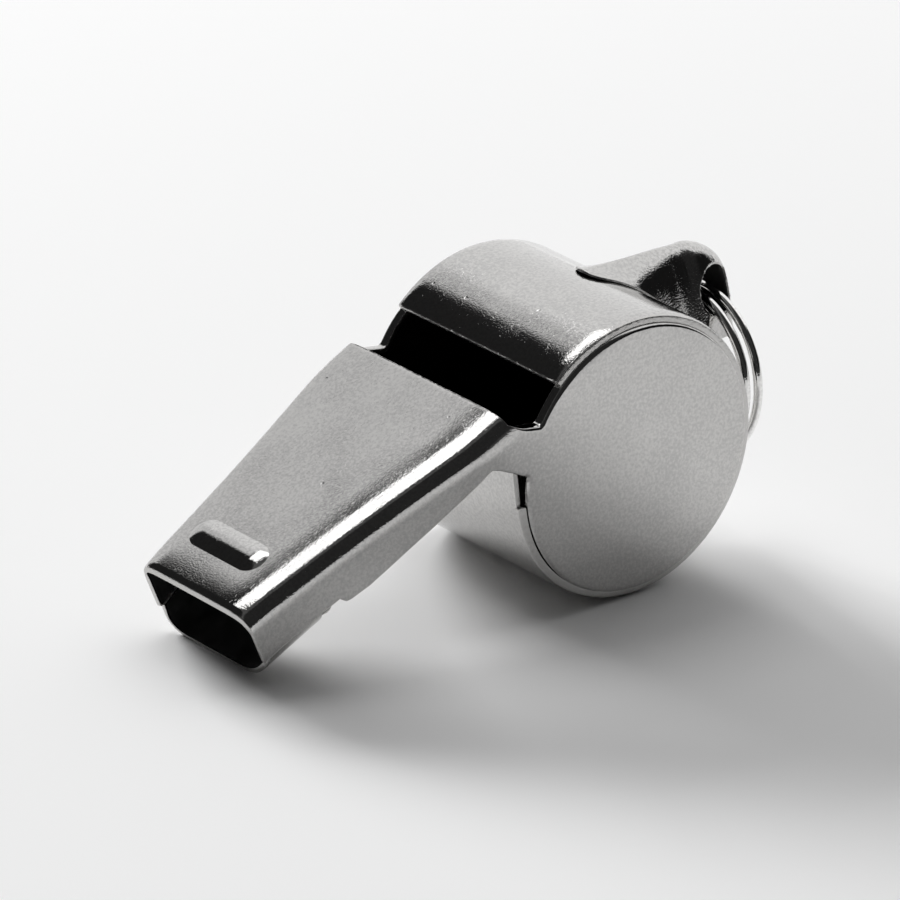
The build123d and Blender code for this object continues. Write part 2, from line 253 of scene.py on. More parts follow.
@dataclass(frozen=True)
class Surface:
    """Four-cornered faces over points in millimetres, with a lining flag per face and an edge share per point."""

    points: Array
    faces: Index
    lining: NDArray[np.bool_]
    edge: Array

    @staticmethod
    def of_grid(grid: Array, wrap: bool = False) -> "Surface":
        """Surface over a grid of points, where each face joins four neighbours of the grid.

        Args:
            grid: points by row and column.
            wrap: whether the last column joins the first.

        Returns:
            The surface.
        """
        rows, columns = grid.shape[:2]
        index = np.arange(rows * columns).reshape(rows, columns)
        if wrap:
            index = np.concatenate([index, index[:, :1]], axis=1)
        corners = [index[:-1, :-1], index[:-1, 1:], index[1:, 1:], index[1:, :-1]]
        faces = np.stack(corners, axis=-1).reshape(-1, FACE_CORNERS)
        points = grid.reshape(-1, 3).astype(float)
        return Surface(points, faces, np.zeros(len(faces), bool), np.zeros(len(points)))

    @staticmethod
    def joined(*surfaces: "Surface") -> "Surface":
        """All the surfaces as one, with their points numbered on.

        Args:
            surfaces: the surfaces, in order.

        Returns:
            The one surface.
        """
        starts = np.cumsum([0] + [len(s.points) for s in surfaces[:-1]])
        return Surface(
            np.concatenate([s.points for s in surfaces]),
            np.concatenate([s.faces + start for s, start in zip(surfaces, starts)]),
            np.concatenate([s.lining for s in surfaces]),
            np.concatenate([s.edge for s in surfaces]),
        )

    def welded(self) -> "Surface":
        """The surface with points of the same place made one.

        Returns:
            The welded surface, without faces that are left with under three corners.
        """
        keys = np.round(self.points / WELD_REACH + WELD_SHIFT).astype(np.int64)
        _, first, inverse = np.unique(keys, axis=0, return_index=True, return_inverse=True)
        faces = inverse.reshape(-1)[self.faces]
        corners = 1 + np.count_nonzero(np.diff(np.sort(faces, axis=1), axis=1), axis=1)
        kept = corners >= 3
        return Surface(self.points[first], faces[kept], self.lining[kept], self.edge[first])

    def normals(self) -> Array:
        """Normal at each point: the sum of its faces' diagonals crossed, made a unit long.

        Returns:
            The normals, one row per point.
        """
        a, b, c, d = (self.points[self.faces[:, k]] for k in range(FACE_CORNERS))
        crossed = np.cross(c - a, d - b)
        total = np.zeros_like(self.points)
        for k in range(FACE_CORNERS):
            np.add.at(total, self.faces[:, k], crossed)
        return total / np.maximum(np.linalg.norm(total, axis=1, keepdims=True), TINY)

    def facing(self, away: Array) -> "Surface":
        """The surface, its faces turned over if on the whole they look against a direction at each point."""
        agrees = np.sum(self.normals() * away) > 0
        return self if agrees else replace(self, faces=self.faces[:, ::-1])

    def turned_from(self, centre: Point) -> "Surface":
        """The surface with its faces turned to look away from a centre, taken over the whole."""
        return self.facing(self.points - np.array(centre))

    def open_edges(self) -> tuple[Index, Index]:
        """Edges that only one face uses.

        Returns:
            The numbers of their first points and of their last ones, in the face's direction.
        """
        starts = self.faces.reshape(-1)
        ends = np.roll(self.faces, -1, axis=1).reshape(-1)
        real = starts != ends
        starts, ends = starts[real], ends[real]
        key = np.minimum(starts, ends) * len(self.points) + np.maximum(starts, ends)
        _, inverse, uses = np.unique(key, return_inverse=True, return_counts=True)
        single = uses[inverse.reshape(-1)] == 1
        return starts[single], ends[single]

    def thickened(self, thickness: float | Array, bulge: float, lean: Array | None = None) -> "Surface":
        """A sheet of some thickness: the surface, a lining set back along the normals, and cut edges between.

        Each open edge gets rows of points from the outside to the lining, pushed out flat with round corners.

        Args:
            thickness: how far back the lining lies, for all points or for each.
            bulge: how far the cut edge stands out.
            lean: how far each lining point is shifted as well, which slants the cut.

        Returns:
            The closed sheet.
        """
        count = len(self.points)
        normals = self.normals()
        a, b = self.open_edges()
        rim = np.unique(np.concatenate([a, b]))
        place = np.zeros(count, np.int64)
        place[rim] = np.arange(len(rim))
        outward = np.zeros_like(self.points)
        along = self.points[b] - self.points[a]
        for ends_here in (a, b):
            np.add.at(outward, ends_here, np.cross(along, normals[ends_here]))
        outward = outward[rim] / np.maximum(np.linalg.norm(outward[rim], axis=1, keepdims=True), TINY)
        depth = np.array(EDGE_DEPTHS)
        swell = (1.0 - np.abs(2.0 * depth - 1.0) ** EDGE_POWER) ** (1.0 / EDGE_POWER)
        back = normals * np.broadcast_to(thickness, (count,))[:, None]
        back = back if lean is None else back - lean
        rows = self.points[rim][None] - depth[:, None, None] * back[rim][None]
        rows = rows + bulge * swell[:, None, None] * outward[None]
        points = np.concatenate([self.points, self.points - back, rows.reshape(-1, 3)])
        first = 2 * count
        ladder = [np.stack([a, b])]
        ladder += [first + k * len(rim) + np.stack([place[a], place[b]]) for k in range(len(depth))]
        ladder += [count + np.stack([a, b])]
        strips = [
            np.stack([upper[1], upper[0], lower[0], lower[1]], axis=1)
            for upper, lower in zip(ladder[:-1], ladder[1:])
        ]
        faces = np.concatenate([self.faces, self.faces[:, ::-1] + count, *strips])
        lining = np.zeros(len(faces), bool)
        lining[len(self.faces) : 2 * len(self.faces)] = True
        edge = np.zeros(len(points))
        edge[first:] = 1.0
        return Surface(points, faces, lining, edge)

    def to_object(self, name: str, place: Placing, finishes: Finishes) -> bpy.types.Object:
        """Blender object at the origin whose mesh holds the placed surface.

        Args:
            name: the piece's name.
            place: function from local millimetres to row metres.
            finishes: the material of the outside, then that of the lining.

        Returns:
            The object, linked to the scene.
        """
        same = self.faces == np.roll(self.faces, -1, axis=1)
        whole = ~same.any(axis=1)
        polygons, lined = self.faces[whole].tolist(), [self.lining[whole]]
        seen = whole.copy()
        for k in range(FACE_CORNERS):
            chosen = same[:, k] & ~seen
            seen |= chosen
            polygons += np.delete(self.faces[chosen], k, axis=1).tolist()
            lined.append(self.lining[chosen])
        mesh = bpy.data.meshes.new(name)
        mesh.from_pydata(place(self.points).tolist(), [], polygons)
        for finish in finishes:
            mesh.materials.append(finish)
        slots = np.minimum(np.concatenate(lined).astype(np.int32), len(finishes) - 1)
        mesh.polygons.foreach_set("material_index", slots)
        worn = mesh.attributes.new("cut_edge", "FLOAT", "POINT")
        worn.data.foreach_set("value", self.edge.astype(np.float32))
        mesh.shade_smooth()
        mesh.set_sharp_from_angle(angle=SHARP_ANGLE)
        mesh.validate()
        mesh.update()
        log.info("%s: %d points, %d faces", name, len(mesh.vertices), len(mesh.polygons))
        return shown(name, mesh)


class NodeTree:
    """Short ways to add and join shader nodes in one tree."""

    def __init__(self, tree: bpy.types.NodeTree) -> None:
        """Keeps the tree, emptied of its nodes."""
        self.tree = tree
        tree.nodes.clear()

    def add(self, kind: str, **inputs: object) -> bpy.types.Node:
        """New node of a kind, with named inputs set to values or joined to sockets.

        Args:
            kind: Blender's name of the node type.
            inputs: input names, with spaces written as underscores, and their values or sockets.

        Returns:
            The node.
        """
        node = self.tree.nodes.new(kind)
        for name, value in inputs.items():
            self.feed(node.inputs[name.replace("_", " ")], value)
        return node

    def feed(self, socket: bpy.types.NodeSocket, value: object) -> None:
        """Joins a socket to an output, or sets its value.

        Args:
            socket: the input socket.
            value: an output socket, or a plain value.
        """
        if isinstance(value, bpy.types.NodeSocket):
            self.tree.links.new(value, socket)
        else:
            socket.default_value = value

    def maths(self, operation: str, result: object, *others: object) -> object:
        """Output of Math nodes that apply an operation to a value and others, one after another.

        Args:
            operation: Blender's name of the operation.
            result: the first value or socket.
            others: the values or sockets that follow.

        Returns:
            The last node's output.
        """
        for other in others:
            node = self.tree.nodes.new("ShaderNodeMath")
            node.operation = operation
            self.feed(node.inputs[0], result)
            self.feed(node.inputs[1], other)
            result = node.outputs[0]
        return result

    def ranged(self, value: object, source: Pair, target: Pair = (0.0, 1.0)) -> bpy.types.NodeSocket:
        """Output of a smooth Map Range from one pair of ends to another.

        Args:
            value: what is mapped.
            source: the two ends that it comes from.
            target: the two ends that it goes to.

        Returns:
            The mapped value.
        """
        node = self.tree.nodes.new("ShaderNodeMapRange")
        node.interpolation_type = "SMOOTHSTEP"
        names = ("Value", "From Min", "From Max", "To Min", "To Max")
        for name, part in zip(names, (value, *source, *target)):
            self.feed(node.inputs[name], part)
        return node.outputs["Result"]

    def mixed(self, blend: Blend, *values: object) -> bpy.types.NodeSocket:
        """Output of a Mix node.

        Args:
            blend: what it mixes.
            values: the share of the second, the first and the second.

        Returns:
            The mix.
        """
        node = self.tree.nodes.new("ShaderNodeMix")
        node.data_type, places, output = blend.value
        for place, value in zip(places, values):
            self.feed(node.inputs[place], value)
        return node.outputs[output]

    def noise(self, vector: object, scale: float, detail: float, roughness: float) -> bpy.types.NodeSocket:
        """Value of a noise texture over a vector."""
        node = self.add("ShaderNodeTexNoise", Vector=vector, Scale=scale, Detail=detail, Roughness=roughness)
        return node.outputs[0]

    def stretched(self, vector: object, scale: Point, turn: float) -> bpy.types.NodeSocket:
        """Vector turned about Y and stretched by a Mapping node."""
        node = self.add("ShaderNodeMapping", Vector=vector, Scale=scale, Rotation=(0.0, turn, 0.0))
        return node.outputs[0]

    def coat(self, height: object, depth: float, **inputs: object) -> None:
        """Ends a material's tree with a bumped Principled shader.

        Args:
            height: the bump's height.
            depth: how many metres one unit of height stands for.
            inputs: the shader's other inputs, as for a new node.
        """
        bump = self.add("ShaderNodeBump", Height=height, Strength=1.0, Distance=depth)
        shader = self.add("ShaderNodeBsdfPrincipled", Normal=bump.outputs["Normal"], **inputs)
        self.add("ShaderNodeOutputMaterial", Surface=shader.outputs["BSDF"])


def blank_material(name: str) -> tuple[bpy.types.Material, NodeTree, bpy.types.NodeSocket]:
    """New material with an empty tree.

    Args:
        name: the material's name.

    Returns:
        The material, its tree, and the socket of places on the object.
    """
    material = bpy.data.materials.new(name)
    material.use_nodes = True
    nodes = NodeTree(material.node_tree)
    return material, nodes, nodes.add("ShaderNodeTexCoord").outputs["Object"]


class PlateWear:
    """Shader group shared by the plated pieces: orange peel, pits, hairline scratches, cloudy patches, and a
    painted highlight that keeps the cut edges at the bright tone.

    Each noise is given by its scale per metre, detail and roughness. Heights are in metres.
    """

    NAME = "plate_wear"
    INPUTS = ("Cut Edge", "Peel", "Pits", "Scratches", "Smoothness")
    OUTPUTS = ("Height", "Roughness", "Tarnish")
    PATCHES = (160.0, 2.0, 0.5)
    WAVES = (300.0, 0.0, 0.5)
    GRAIN = (8000.0, 1.0, 0.5)
    COARSE = (4500.0, 1.0, 0.5)
    MOTTLE = (4500.0, 2.0, 0.7)
    HAIR = (1.0, 0.0, 0.5)
    HAIR_STRETCH = (260.0, 5200.0, 5200.0)
    HAIR_TURN = 0.9
    HAIR_BAND = (0.7, 0.76)
    PIT_CELLS = 650.0
    PIT_RARITY = 0.82
    PIT_BAND = (0.03, 0.12)
    SPARKLE_BAND = (0.35, 0.7)
    SPARKLE = (0.5, 1.5)
    EDGE_HEIGHT = 5e-5
    WAVE_HEIGHT = 8e-6
    PATCH_BAND = (0.3, 0.7)
    PATCH_ROUGHNESS = (-0.015, 0.02)
    EDGE_ROUGHNESS = 0.3
    PATCH_SHARE = 0.2
    MOTTLE_SHARE = 0.8
    TARNISH_BAND = (0.36, 0.64)

    def group(self) -> bpy.types.NodeTree:
        """The node group, built on the first call."""
        found = bpy.data.node_groups.get(self.NAME)
        return found if found else self.build()

    def build(self) -> bpy.types.NodeTree:
        """Builds the group: noises at three sizes, pits from Voronoi cells and scratches from stretched noise.

        Returns:
            The group, with three outputs: a height in metres, a roughness, and a mask of tarnished patches that
                the cut edges push down to the bright tone as a painted highlight.
        """
        tree = bpy.data.node_groups.new(self.NAME, "ShaderNodeTree")
        nodes = NodeTree(tree)
        tree.interface.new_socket("Vector", in_out="INPUT", socket_type="NodeSocketVector")
        for way, names in (("INPUT", self.INPUTS), ("OUTPUT", self.OUTPUTS)):
            for name in names:
                tree.interface.new_socket(name, in_out=way, socket_type="NodeSocketFloat")
        source = nodes.add("NodeGroupInput").outputs
        vector, cut = source["Vector"], source["Cut Edge"]
        noises = (self.PATCHES, self.WAVES, self.GRAIN, self.COARSE, self.MOTTLE)
        patches, waves, grain, coarse, mottle = (nodes.noise(vector, *values) for values in noises)
        sparkle = nodes.ranged(patches, self.SPARKLE_BAND, self.SPARKLE)
        peel = nodes.maths("MULTIPLY", grain, source["Peel"], sparkle)
        cells = nodes.add("ShaderNodeTexVoronoi", Vector=vector, Scale=self.PIT_CELLS)
        chosen = nodes.add("ShaderNodeSeparateColor", Color=cells.outputs["Color"]).outputs[0]
        rare = nodes.maths("GREATER_THAN", chosen, self.PIT_RARITY)
        speck = nodes.maths("MULTIPLY", nodes.ranged(cells.outputs["Distance"], self.PIT_BAND, (1.0, 0.0)), rare)
        pits = nodes.maths("MULTIPLY", speck, source["Pits"])
        lines = nodes.noise(nodes.stretched(vector, self.HAIR_STRETCH, self.HAIR_TURN), *self.HAIR)
        scratches = nodes.maths("MULTIPLY", nodes.ranged(lines, self.HAIR_BAND), source["Scratches"], patches)
        edge = nodes.maths("MULTIPLY", coarse, cut, self.EDGE_HEIGHT)
        raised = nodes.maths("ADD", peel, nodes.maths("MULTIPLY", waves, self.WAVE_HEIGHT), edge)
        height = nodes.maths("SUBTRACT", raised, pits, scratches)
        uneven = nodes.ranged(patches, self.PATCH_BAND, self.PATCH_ROUGHNESS)
        dulled = nodes.maths("MULTIPLY", cut, self.EDGE_ROUGHNESS)
        rough = nodes.maths("ADD", uneven, source["Smoothness"], dulled)
        clouds = nodes.maths("MULTIPLY", patches, self.PATCH_SHARE)
        cloud = nodes.maths("ADD", clouds, nodes.maths("MULTIPLY", mottle, self.MOTTLE_SHARE), speck)
        # Random tarnished patches and pits, less the cut edges: the edges keep the bright tone as a painted
        # highlight.
        tarnish_less_edge_highlight = nodes.maths("SUBTRACT", nodes.ranged(cloud, self.TARNISH_BAND), cut)
        nodes.add("NodeGroupOutput", Height=height, Roughness=rough, Tarnish=tarnish_less_edge_highlight)
        return tree


@dataclass(frozen=True)
class PlatedFinish:
    """Bright plate over sheet or wire: how far the shared wear group shows, and its two tones."""

    name: str
    peel: float
    pits: float
    roughness: float
    scratches: float = 2.5e-6
    bright: Colour = PLATE_BRIGHT
    tarnished: Colour = PLATE_TARNISHED

    def build(self) -> bpy.types.Material:
        """Material of metal whose colour, roughness and height come from the shared wear group.

        Returns:
            The material.
        """
        material, nodes, where = blank_material(self.name)
        cut = nodes.add("ShaderNodeAttribute")
        cut.attribute_name = "cut_edge"
        wear = nodes.tree.nodes.new("ShaderNodeGroup")
        wear.node_tree = PlateWear().group()
        amounts = (cut.outputs["Fac"], self.peel, self.pits, self.scratches, self.roughness)
        for name, value in zip(("Vector", *PlateWear.INPUTS), (where, *amounts)):
            nodes.feed(wear.inputs[name], value)
        # Plate tone: tarnished by the patches, and bright on the cut edges as a painted highlight.
        tone = nodes.mixed(Blend.COLOUR, wear.outputs["Tarnish"], self.bright, self.tarnished)
        rough = wear.outputs["Roughness"]
        nodes.coat(wear.outputs["Height"], 1.0, Base_Color=tone, Metallic=1.0, Roughness=rough)
        return material


@dataclass(frozen=True)
class DullFinish:
    """Dull dark surface with two tones mixed by noise: the unplated inside of the sheet, painted near black as the
    shade inside the whistle, or cork, painted dark as that same shade.
    """

    name: str
    dark: Colour
    light: Colour
    scale: float
    metallic: float
    bump: float
    detail: float = 4.0
    fineness: float = 0.6
    tone_band: Pair = (0.35, 0.7)
    rough_band: Pair = (0.3, 0.7)
    roughness: Pair = (0.55, 0.8)

    def build(self) -> bpy.types.Material:
        """Material with a noise that sets colour, roughness and bump together.

        Returns:
            The material.
        """
        material, nodes, where = blank_material(self.name)
        cloud = nodes.noise(where, self.scale, self.detail, self.fineness)
        tone = nodes.mixed(Blend.COLOUR, nodes.ranged(cloud, self.tone_band), self.dark, self.light)
        rough = nodes.ranged(cloud, self.rough_band, self.roughness)
        nodes.coat(cloud, self.bump, Base_Color=tone, Metallic=self.metallic, Roughness=rough)
        return material


NICKEL = PlatedFinish("bright_nickel", peel=5e-6, pits=1.4e-5, roughness=0.065)
GRAINED = PlatedFinish("grained_nickel", peel=1.3e-5, pits=8e-6, roughness=0.07)
ROLLED = PlatedFinish("rolled_nickel", peel=9e-6, pits=1.4e-5, roughness=0.065)
WIRE = PlatedFinish(
    "spring_wire",
    peel=0.8e-6,
    pits=2e-6,
    roughness=0.06,
    scratches=1.5e-6,
    bright=(0.88, 0.875, 0.865, 1.0),
    tarnished=(0.74, 0.735, 0.725, 1.0),
)
# Painted shade: the inside of the sheet is near black, standing in for the shade inside the whistle.
LINING_PAINTED_SHADE = DullFinish(
    "unplated_inside_painted_shade",
    dark=(0.006, 0.006, 0.006, 1.0),
    light=(0.02, 0.02, 0.02, 1.0),
    scale=900.0,
    metallic=0.3,
    bump=1e-5,
)
# Painted shade: the cork's tone is kept very dark so that the ball reads as the shade inside the barrel.
CORK_DARKENED_AS_SHADE = DullFinish(
    "cork_darkened_as_shade",
    dark=(0.035, 0.022, 0.013, 1.0),
    light=(0.11, 0.07, 0.04, 1.0),
    scale=1400.0,
    metallic=0.0,
    bump=8e-5,
)


@dataclass(frozen=True)
class Piece:
    """A piece: what it is called, the body it rides on, the CAD node it stands for and its material slot."""

    name: str
    body: str
    node: str
    slot: str

    def surface(self) -> Surface:
        """The piece's closed surface in millimetres, which each kind of piece works out for itself."""
        raise NotImplementedError

    def build(self, place: Placing, *finishes: bpy.types.Material) -> None:
        """Makes the piece's object and ties it to its body and node.

        Args:
            place: function from local millimetres to row metres.
            finishes: the material of the outside, then that of the lining.
        """
        made = self.surface().to_object(self.name, place, finishes)
        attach(made, self.body)
        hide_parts(self.node)
        log.info("%s rides on %s and stands for %s", self.name, self.body, self.node)


@dataclass(frozen=True)
class TopPressing(Piece):
    """Roof, walls, necks and cheeks pressed from one sheet, with the bite ridge."""

    name: str = "pressed_top"
    body: str = "whistle"
    node: str = "top_pressing"
    slot: str = "nickel_plate"
    edge_bulge: float = 0.1
    seam_low: Pair = (-10.0, 7.85)
    seam_high: Pair = (-7.45, 9.7)
    merge_reach: float = 14.0
    roll_run: float = 0.45
    roll_drop: float = 0.075
    edge_lean: float = 0.35
    lean_start: float = -28.85
    lean_run: float = 0.05
    dip_start: float = -26.3
    dip_rate: float = 0.009
    tip_slant: float = 0.3
    left_drop: float = 0.15
    slant_run: float = 2.5
    lower_front: Table = ((-29.2, 6.38), (-28.5, 6.5), (-27.0, 6.64), (-24.0, 6.76), (-22.78, 6.8))
    lower_step: Table = ((-22.62, 6.55), (-22.45, 6.3), (-22.1, 6.22), (-20.6, 6.2), (-18.8, 6.43))
    lower_rise: Table = ((-15.3, 6.94), (-11.9, 7.52), (-11.0, 7.68), (-10.5, 7.79), (-10.2, 7.83), (-10.0, 7.85))
    neck_top: Table = ((-7.2, 9.4), (-6.85, 9.0), (-6.45, 8.62), (-6.05, 8.32), (-5.7, 8.08))
    neck_low: Table = ((-8.07, 5.55), (-8.3, 5.95), (-8.9, 6.7), (-9.45, 7.38), (-9.72, 7.63))
    neck_top_angle: float = 55.5
    neck_low_angle: float = 34.0
    rim_radius: float = 0.3
    rim_top_ease: float = 1.5
    rim_low_ease: float = 4.0
    rim_low_share: float = 0.25
    rim_fade: int = 4
    flange_depth: float = 0.75
    ridge_reach: float = 24.96
    ridge_offset: float = 0.6
    ridge_half_length: float = 3.63
    ridge_half_width: float = 1.22
    ridge_height: float = 0.25
    ridge_sink: float = 0.12
    front_run: Pair = (-28.0, -23.0)
    step_run: tuple[float, ...] = (-22.78, -22.7, -22.62, -22.54, -22.45, -22.3, -22.1)
    back_start: float = -21.6
    tip_stations: int = 12
    front_stations: int = 16
    back_stations: int = 40
    wall_rows: int = 8
    turn_rows: int = 8
    shoulder_rows: int = 20
    roof_rows: int = 22
    neck_columns: int = 26
    disc_columns: int = 380
    disc_rings: int = 14
    disc_inner: float = 0.93
    disc_outer: Pair = (0.975, 1.0)
    rim_rows: int = 9
    flange_rows: int = 5
    corner_easing: int = 6
    ridge_end_points: int = 19
    ridge_side_points: int = 16
    ridge_rings: int = 14
    channel_centre: Point = (-18.0, 0.0, 5.0)
    cheek_centre: Point = (-2.0, 0.0, 2.0)

    def lower_edge(self, x: Array) -> Array:
        """Height of the walls' lower edge: nearly level at the tip, a step down, then a rise to the armpit."""
        return read_off(self.lower_front + self.lower_step + self.lower_rise, x)

    def stations(self) -> Array:
        """Places along the roof where sections stand, closer together at the rolled tip and the step.

        Returns:
            The places, from the tip to the window.
        """
        tip = -LAYOUT.tip_reach + self.roll_run * np.linspace(0.0, 1.0, self.tip_stations)
        front = np.linspace(*self.front_run, self.front_stations)
        back = np.linspace(self.back_start, -LAYOUT.window_reach, self.back_stations)
        return np.concatenate([tip, front, self.step_run, back])

    def seam(self) -> tuple[Array, Array]:
        """Line where wall and neck meet, from the armpit up to the window edge.

        Returns:
            Its places along x, and at each the share of the way up.
        """
        z = self.side_heights(np.array(self.seam_low[1]))
        share = (z - self.seam_low[1]) / (self.seam_high[1] - self.seam_low[1])
        return self.seam_low[0] + share * (self.seam_high[0] - self.seam_low[0]), share

    def side_heights(self, low: Array) -> Array:
        """Heights of the wall rows up to the seam's upper end, even on the wall and by angle above.

        Args:
            low: heights of the lower edge.

        Returns:
            The heights, with the rows along the last axis.
        """
        share = np.linspace(0.0, 1.0, self.wall_rows)
        wall = low[..., None] + share * (LAYOUT.spring - low[..., None])
        angle = np.linspace(0.0, LAYOUT.turn_at(self.seam_high[1]), self.turn_rows)[1:]
        turn = np.broadcast_to(LAYOUT.spring + LAYOUT.shoulder(angle)[1], wall.shape[:-1] + angle.shape)
        return np.concatenate([wall, turn], axis=-1)

    def channel(self) -> Surface:
        """Roof and walls: a section of wall, round shoulder and flat roof carried from the tip to the window.

        Returns:
            The surface, which ends along the seams of the necks and the edge of the window.
        """
        x = self.stations()[:, None]
        angle = np.linspace(LAYOUT.turn_at(self.seam_high[1]), RIGHT_ANGLE, self.shoulder_rows)[1:]
        drawn, climbed = LAYOUT.shoulder(angle)
        window = np.full(len(angle) + self.roof_rows, -LAYOUT.window_reach)
        rear = np.concatenate([self.seam()[0], window])
        share = np.clip((x + self.merge_reach) / (self.merge_reach - LAYOUT.window_reach), 0.0, 1.0)
        along = np.where(x < -self.merge_reach, x, share * (rear + self.merge_reach) - self.merge_reach)
        side_z = self.side_heights(self.lower_edge(along[:, 0]))
        side_count = side_z.shape[1]
        side_y = LAYOUT.side_width(along[:, :side_count], side_z)
        wide = LAYOUT.half_width(along[:, side_count:])
        turn_y = wide[:, : len(angle)] - drawn
        turn_z = np.broadcast_to(LAYOUT.spring + climbed, turn_y.shape)
        across = 1.0 - np.linspace(0.0, 1.0, self.roof_rows + 1)[1:]
        roof_y = (wide[:, len(angle) :] - drawn[-1]) * across
        roof_z = np.full_like(roof_y, LAYOUT.roof_height)
        y = np.concatenate([side_y, turn_y, roof_y], axis=1)
        z = np.concatenate([side_z, turn_z, roof_z], axis=1)
        roll = np.clip((-LAYOUT.tip_reach + self.roll_run - along) / self.roll_run, 0.0, 1.0) ** 2
        dip = self.dip_rate * np.maximum(self.dip_start - along, 0.0) ** 2
        near_tip = np.clip(1.0 - (along + LAYOUT.tip_reach) / self.slant_run, 0.0, 1.0)
        height = np.clip((z - z[0, 0]) / (LAYOUT.roof_height - z[0, 0]), 0.0, 1.0)
        z = z - (self.roll_drop * roll + dip) * LAYOUT.crown(z)
        along = along + self.tip_slant * near_tip * height
        right = np.stack([along, -y, z], axis=-1)
        left = np.stack([along, y, z - self.left_drop * near_tip * (1.0 - height)], axis=-1)
        return Surface.of_grid(np.concatenate([right, left[:, -2::-1]], axis=1))

    def cheek_outline(self) -> tuple[Array, Array]:
        """Outline of neck and cheek as x and z, from the window's end of the seam round to the armpit.

        Returns:
            The points, and at each the share of the rim's full round: none at the seam, all round the cheek.
        """
        ends = np.radians([self.neck_top_angle, FULL_TURN + self.neck_low_angle])
        turn = np.linspace(*ends, self.disc_columns)
        disc = LAYOUT.cheek_radius * np.stack([-np.cos(turn), np.sin(turn)], axis=1)
        upper = resampled(np.array([self.seam_high, *self.neck_top, disc[0]]), self.neck_columns)
        lower = resampled(np.array([disc[-1], *self.neck_low, self.seam_low]), self.neck_columns)
        points = eased(np.concatenate([upper, disc[1:-1], lower]), self.corner_easing)
        growing = smooth(np.linspace(0.0, self.rim_top_ease, len(upper)))
        falling = 1.0 - smooth(np.linspace(0.0, self.rim_low_ease, len(lower)))
        falling = self.rim_low_share + (1.0 - self.rim_low_share) * falling
        falling[-self.rim_fade :] *= np.linspace(1.0, 0.0, self.rim_fade)
        return points, np.concatenate([growing, np.ones(len(disc) - 2), falling])

    def cheek(self, side: Side) -> Surface:
        """Neck and cheek of one side: a grid across the neck, a fan over the disc, and a round rim with a flange.

        Args:
            side: which side.

        Returns:
            The surface.
        """
        outline, share = self.cheek_outline()
        tangent = np.gradient(outline, axis=0)
        outward = np.stack([-tangent[:, 1], tangent[:, 0]], axis=1)
        outward /= np.maximum(np.linalg.norm(outward, axis=1, keepdims=True), TINY)
        radius = (self.rim_radius * share)[:, None]
        inner = outline - radius * outward
        upper, lower = inner[: self.neck_columns], inner[-self.neck_columns :][::-1]
        neck = lower[None] + self.seam()[1][:, None, None] * (upper - lower)[None]
        ring = np.concatenate([inner[self.neck_columns - 1 : -self.neck_columns], neck[:-1, -1]])
        spread = np.concatenate([np.linspace(0.0, self.disc_inner, self.disc_rings), self.disc_outer])
        disc = spread[:, None, None] * ring[None]
        angle = np.linspace(0.0, RIGHT_ANGLE, self.rim_rows)[:, None, None]
        turn = inner[None] + radius[None] * np.sin(angle) * outward[None]
        run = np.linspace(0.0, 1.0, self.flange_rows)[1:, None, None]
        rim = np.concatenate([turn, np.broadcast_to(outline, (len(run),) + outline.shape)])
        flange = radius + run * ((self.flange_depth - self.rim_radius) * share)[:, None]
        sunk = np.concatenate([(1.0 - np.cos(angle)) * radius[None], flange])[..., 0]
        return Surface.joined(
            self.on_side(neck, np.zeros(neck.shape[:2]), side, False),
            self.on_side(disc, np.zeros(disc.shape[:2]), side, True),
            self.on_side(rim, sunk, side, False),
        )

    def on_side(self, plan: Array, sunk: Array, side: Side, wrap: bool) -> Surface:
        """Grid of side-view points set out to the side's width, facing outward.

        Args:
            plan: the points as x and z, by row and column.
            sunk: how far each lies inside the side's width.
            side: which side.
            wrap: whether the last column joins the first.

        Returns:
            The surface.
        """
        width = LAYOUT.side_width(plan[..., 0], np.minimum(plan[..., 1], self.seam_high[1]))
        grid = np.stack([plan[..., 0], side.value * (width - sunk), plan[..., 1]], axis=-1)
        return Surface.of_grid(grid, wrap=wrap).turned_from(self.cheek_centre)

    def ridge(self) -> Surface:
        """Bite ridge: a dome over a slot, each ring of it the slot's outline at a share of its width.

        Returns:
            The closed dome, its foot sunk into the roof.
        """
        straight = self.ridge_half_length - self.ridge_half_width
        half = np.linspace(-RIGHT_ANGLE, RIGHT_ANGLE, self.ridge_end_points)
        run = np.linspace(-1.0, 1.0, self.ridge_side_points)[1:-1]
        level = np.full(len(run), RIGHT_ANGLE)
        angle = np.concatenate([half, level, half + math.pi, level + math.pi])
        spine = straight * np.concatenate([np.ones(len(half)), -run, -np.ones(len(half)), run])
        inward = np.linspace(1.0, 0.0, self.ridge_rings)
        reach = np.concatenate([[0.0, 1.0], inward])
        rise = np.concatenate([[-self.ridge_sink] * 2, self.ridge_height * (1.0 - inward**2)])
        away = self.ridge_half_width * reach[:, None]
        x = -self.ridge_reach + away * np.sin(angle)[None]
        y = self.ridge_offset + spine[None] + away * np.cos(angle)[None]
        z = np.broadcast_to(LAYOUT.roof_height + rise[:, None], x.shape)
        dome = Surface.of_grid(np.stack([x, y, z], axis=-1), wrap=True).welded()
        return dome.turned_from((-self.ridge_reach, self.ridge_offset, LAYOUT.roof_height))

    def surface(self) -> Surface:
        """Welds roof, walls, necks and cheeks, gives the sheet its thickness and adds the ridge.

        Returns:
            The closed surface.
        """
        channel = self.channel().turned_from(self.channel_centre)
        skin = Surface.joined(channel, self.cheek(Side.RIGHT), self.cheek(Side.LEFT)).welded()
        at_tip = smooth((self.lean_start - skin.points[:, 0]) / self.lean_run)
        leaning = -self.edge_lean * LAYOUT.crown(skin.points[:, 2]) * at_tip
        sheet = skin.thickened(LAYOUT.sheet, self.edge_bulge, np.outer(leaning, (1.0, 0.0, 0.0)))
        return Surface.joined(sheet, self.ridge())


